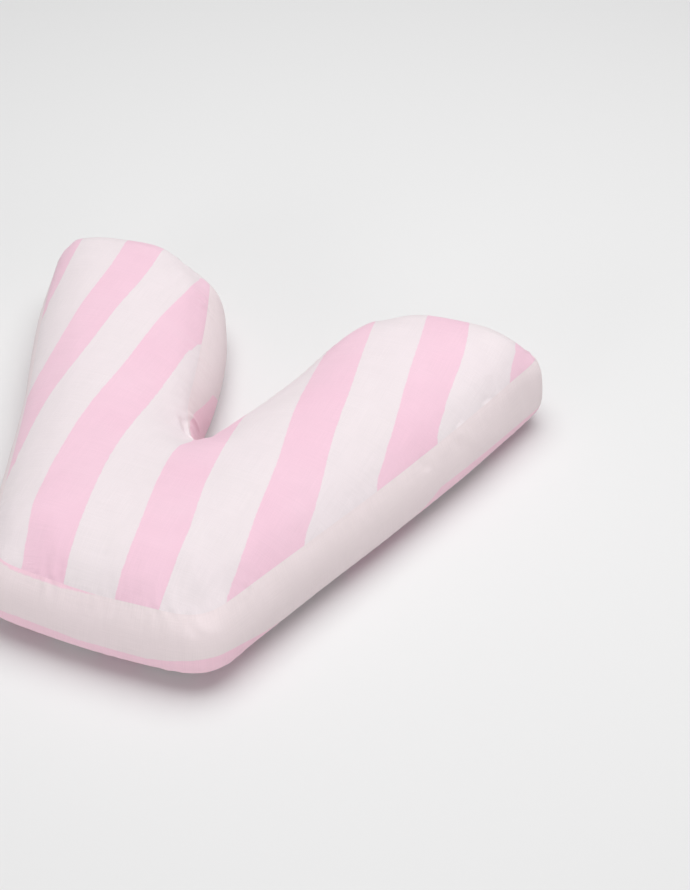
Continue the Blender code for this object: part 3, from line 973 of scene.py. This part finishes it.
# ==================================================================== the cotton
def cotton(name, white, pink, pink_deep, seed, rim_painted_light=0.0):
    """A plain woven cotton, printed white and pink by the print attribute."""
    material = bpy.data.materials.new(name)
    material.use_nodes = True
    tree = material.node_tree
    nodes, links = tree.nodes, tree.links
    shader = nodes["Principled BSDF"]

    def node(kind, **values):
        n = nodes.new(kind)
        for key, value in values.items():
            setattr(n, key, value)
        return n

    def plug(socket, value):
        if hasattr(value, "is_output"):
            links.new(value, socket)
        else:
            socket.default_value = value

    def maths(kind, a, b=0.0, c=0.0, clamp=False):
        n = node("ShaderNodeMath", operation=kind, use_clamp=clamp)
        for i, value in enumerate((a, b, c)):
            plug(n.inputs[i], value)
        return n.outputs[0]

    def stretch(vector, scale, shift=(0.0, 0.0, 0.0)):
        n = node("ShaderNodeMapping")
        plug(n.inputs["Vector"], vector)
        n.inputs["Scale"].default_value = scale
        n.inputs["Location"].default_value = shift
        return n.outputs[0]

    def noise(vector, detail=2.0, rough=0.5):
        n = node("ShaderNodeTexNoise", noise_dimensions="3D")
        plug(n.inputs["Vector"], vector)
        n.inputs["Scale"].default_value = 1.0
        n.inputs["Detail"].default_value = detail
        n.inputs["Roughness"].default_value = rough
        return n.outputs["Fac"]

    def between(value, low, high, to_low=0.0, to_high=1.0, kind="LINEAR"):
        n = node("ShaderNodeMapRange", interpolation_type=kind, clamp=True)
        plug(n.inputs[0], value)
        for i, v in enumerate((low, high, to_low, to_high)):
            plug(n.inputs[i + 1], v)
        return n.outputs[0]

    def blend(share, a, b, kind="MIX"):
        n = node("ShaderNodeMix", data_type="RGBA", blend_type=kind)
        plug(n.inputs[0], share)
        plug(n.inputs[6], a)
        plug(n.inputs[7], b)
        return n.outputs[2]

    cloth = node("ShaderNodeUVMap", uv_map="cloth").outputs[0]
    ink = node("ShaderNodeAttribute", attribute_name="print").outputs["Fac"]
    by_seam = node("ShaderNodeAttribute", attribute_name="seam_place").outputs["Vector"]
    split_seam = node("ShaderNodeSeparateXYZ")
    plug(split_seam.inputs[0], by_seam)
    split = node("ShaderNodeSeparateXYZ")
    plug(split.inputs[0], cloth)
    u, v = split.outputs[0], split.outputs[1]

    # the print's edge wanders by a thread or two
    wander = noise(stretch(cloth, (190, 190, 190), (seed, 0, 0)), 3.0, 0.6)
    ragged = noise(stretch(cloth, (1300, 700, 900), (seed, 3, 0)), 1.0)
    edge = maths("ADD", ink, maths("MULTIPLY", maths("SUBTRACT", wander, 0.5), 0.0014))
    edge = maths("ADD", edge, maths("MULTIPLY", maths("SUBTRACT", ragged, 0.5), 0.0007))
    share = between(edge, -0.00045, 0.00045, kind="SMOOTHSTEP")

    # colours that drift over the cloth, warmer and cooler, paler and deeper
    drift = noise(stretch(cloth, (9, 12, 10), (seed, 7, 0)), 3.0, 0.55)
    mottle = noise(stretch(cloth, (55, 48, 50), (seed, 11, 0)), 4.0, 0.6)
    pinks = blend(between(drift, 0.30, 0.70), pink, pink_deep)
    whites = blend(between(drift, 0.32, 0.68), white, tuple(c * k for c, k in zip(white, (0.985, 0.995, 0.985, 1))))
    colour = blend(share, whites, pinks)

    # yarns: uneven threads both ways, with a slub here and there
    warp = noise(stretch(cloth, (2300, 26, 1), (seed, 0, 1)), 1.0)
    weft = noise(stretch(cloth, (26, 2100, 1), (seed, 0, 2)), 1.0)
    threads = maths("ADD", warp, weft)
    slub_a = between(noise(stretch(cloth, (900, 45, 1), (seed, 5, 3)), 1.0), 0.70, 0.80)
    slub_b = between(noise(stretch(cloth, (45, 900, 1), (seed, 5, 4)), 1.0), 0.70, 0.80)
    slubs = maths("ADD", slub_a, slub_b, clamp=True)

    # plain weave, each thread over one and under the next
    pitch = 2 * math.pi / 0.00052
    across = maths("SINE", maths("MULTIPLY", u, pitch))
    along = maths("SINE", maths("MULTIPLY", v, pitch))
    weave = maths("MULTIPLY", across, along)
    weave_painted_shade = maths("MULTIPLY", maths("ABSOLUTE", across), maths("ABSOLUTE", along))

    value = maths("ADD", 1.0, maths("MULTIPLY", maths("SUBTRACT", mottle, 0.5), 0.050))
    value = maths("ADD", value, maths("MULTIPLY", maths("SUBTRACT", threads, 1.0), 0.075))
    # painted shade and light: lighter on the threads' crowns, darker in the gaps between them
    value = maths("ADD", value, maths("MULTIPLY", maths("SUBTRACT", weave_painted_shade, 0.405), 0.060))
    value = maths("ADD", value, maths("MULTIPLY", slubs, 0.018))
    # painted shade: the colour is darkened within 2 mm of the seam, where the cloth turns into the crease
    deep = between(split_seam.outputs[1], 0.0, 0.0020, 0.985, 1.0, "SMOOTHSTEP")
    value = maths("MULTIPLY", value, deep)
    colour = blend(1.0, colour, value, "MULTIPLY")
    # painted light: the covers are brightened a little near the seam, where they roll over the edge and fall into
    # shade
    rim = between(split_seam.outputs[1], 0.002, 0.034, rim_painted_light, 0.0, "SMOOTHSTEP")
    painted_rim_light = node("ShaderNodeHueSaturation")
    painted_rim_light.inputs["Value"].default_value = 1.045
    plug(painted_rim_light.inputs["Fac"], rim)
    plug(painted_rim_light.inputs["Color"], colour)
    links.new(painted_rim_light.outputs[0], shader.inputs["Base Color"])

    rough = between(mottle, 0.25, 0.75, 0.86, 0.96)
    links.new(rough, shader.inputs["Roughness"])
    shader.inputs["Specular IOR Level"].default_value = 0.20
    shader.inputs["Sheen Weight"].default_value = 0.22
    shader.inputs["Sheen Roughness"].default_value = 0.55
    shader.inputs["Sheen Tint"].default_value = (1.0, 0.95, 0.96, 1.0)

    # relief: soft creases of worn cotton, slubs and threads, the weave, and the pull of
    # each stitch beside the seam
    crumple = noise(stretch(cloth, (85, 70, 80), (seed, 13, 0)), 3.0, 0.5)
    stitch = maths("SINE", maths("MULTIPLY", split_seam.outputs[0], 2 * math.pi / 0.0030))
    near_seam = between(split_seam.outputs[1], 0.0006, 0.0045, 1.0, 0.0, "SMOOTHSTEP")
    pulls = maths("MULTIPLY", stitch, near_seam)
    last = None
    for height, distance, strength in (
        (crumple, 0.0010, 0.38),
        (pulls, 0.00012, 0.20),
        (maths("ADD", threads, slubs), 0.00012, 0.55),
        (weave, 0.00007, 0.60),
    ):
        bump = node("ShaderNodeBump")
        bump.inputs["Strength"].default_value = strength
        bump.inputs["Distance"].default_value = distance
        links.new(height, bump.inputs["Height"])
        if last is not None:
            links.new(last, bump.inputs["Normal"])
        last = bump.outputs[0]
    links.new(last, shader.inputs["Normal"])
    return material


#           white, then pink where it is palest and deepest
COLOURS = {
    "front_cotton": ((0.805, 0.722, 0.748, 1.0), (0.852, 0.590, 0.690, 1.0), (0.838, 0.552, 0.662, 1.0)),
    # painted light: the band's white and pinks are made brighter than the covers' to make up for the shade on its
    # upright sides
    "band_cotton": ((0.856, 0.741, 0.760, 1.0), (0.925, 0.640, 0.735, 1.0), (0.912, 0.618, 0.715, 1.0)),
    "back_cotton": ((0.805, 0.722, 0.748, 1.0), (0.852, 0.590, 0.690, 1.0), (0.838, 0.552, 0.662, 1.0)),
}

cover = link(bpy.data.objects.new("cushion_cover", cover_mesh()))
inflate(cover)
finer(cover)
pieces = cut_apart(cover, *dress(cover))
STANDS_FOR = {"front_cover": "front_panel", "side_band": "side_gusset", "back_cover": "back_panel"}
# how strongly painted light brightens each piece near its seams
RIM_PAINTED_LIGHT = {"front_cover": 1.0, "side_band": 0.0, "back_cover": 1.0}
SLOTS = {"front_cover": "front_cotton", "side_band": "band_cotton", "back_cover": "back_cotton"}
for number, (name, piece) in enumerate(pieces.items()):
    piece.data.materials.append(cotton(SLOTS[name], *COLOURS[SLOTS[name]], 1.7 + 4.1 * number, RIM_PAINTED_LIGHT[name]))
    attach(piece, "root")
    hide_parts(STANDS_FOR[name])

# ================================================================ floor, light, camera
floor_mesh = bpy.data.meshes.new("floor")
floor_mesh.from_pydata([(-6, -6, -0.0003), (6, -6, -0.0003), (6, 8, -0.0003), (-6, 8, -0.0003)], [], [(0, 1, 2, 3)])
floor = link(bpy.data.objects.new("floor", floor_mesh))
floor_paper = bpy.data.materials.new("floor_paper")
floor_paper.use_nodes = True
floor_paper.node_tree.nodes["Principled BSDF"].inputs["Base Color"].default_value = (0.755, 0.755, 0.755, 1)
floor_paper.node_tree.nodes["Principled BSDF"].inputs["Roughness"].default_value = 0.95
floor_mesh.materials.append(floor_paper)

world = bpy.data.worlds.new("studio")
world.use_nodes = True
world.node_tree.nodes["Background"].inputs["Color"].default_value = (1, 1, 1, 1)
world.node_tree.nodes["Background"].inputs["Strength"].default_value = 0.28
bpy.context.scene.world = world


def area_light(name, place, aim, size, power):
    data = bpy.data.lights.new(name, "AREA")
    data.shape = "DISK"
    data.size = size
    data.energy = power
    lamp = link(bpy.data.objects.new(name, data))
    lamp.location = place
    lamp.rotation_euler = (Vector(aim) - Vector(place)).to_track_quat("-Z", "Y").to_euler()
    return lamp


# one wide soft light overhead, and two weak ones that reach the sides
area_light("key", (0.14, 0.22, 1.80), (0.0, 0.0, 0.0), 1.9, 33.2)
area_light("fill_right", (3.2, -2.2, 0.75), (0.0, 0.0, 0.0), 2.2, 24.5)
area_light("fill_left", (-1.3, -3.7, 0.75), (0.0, 0.0, 0.0), 2.2, 33.0)

AZIMUTH, ELEVATION = 21.62, 41.46
DISTANCE = 1.5796
TARGET = (0.0806, 0.0857, 0.00775)
FOCAL_PX = 1997.5
az, el = math.radians(AZIMUTH), math.radians(ELEVATION)
back = Vector((math.sin(az) * math.cos(el), -math.cos(az) * math.cos(el), math.sin(el)))
lens = bpy.data.cameras.new("photo_view")
lens.sensor_width = 36.0
lens.sensor_fit = "AUTO"
lens.lens = 36.0 * FOCAL_PX / 890.0
camera = link(bpy.data.objects.new("photo_view", lens))
camera.location = Vector(TARGET) + back * DISTANCE
camera.rotation_euler = (-back).to_track_quat("-Z", "Y").to_euler()
bpy.context.scene.camera = camera
bpy.context.scene.view_settings.view_transform = "Standard"
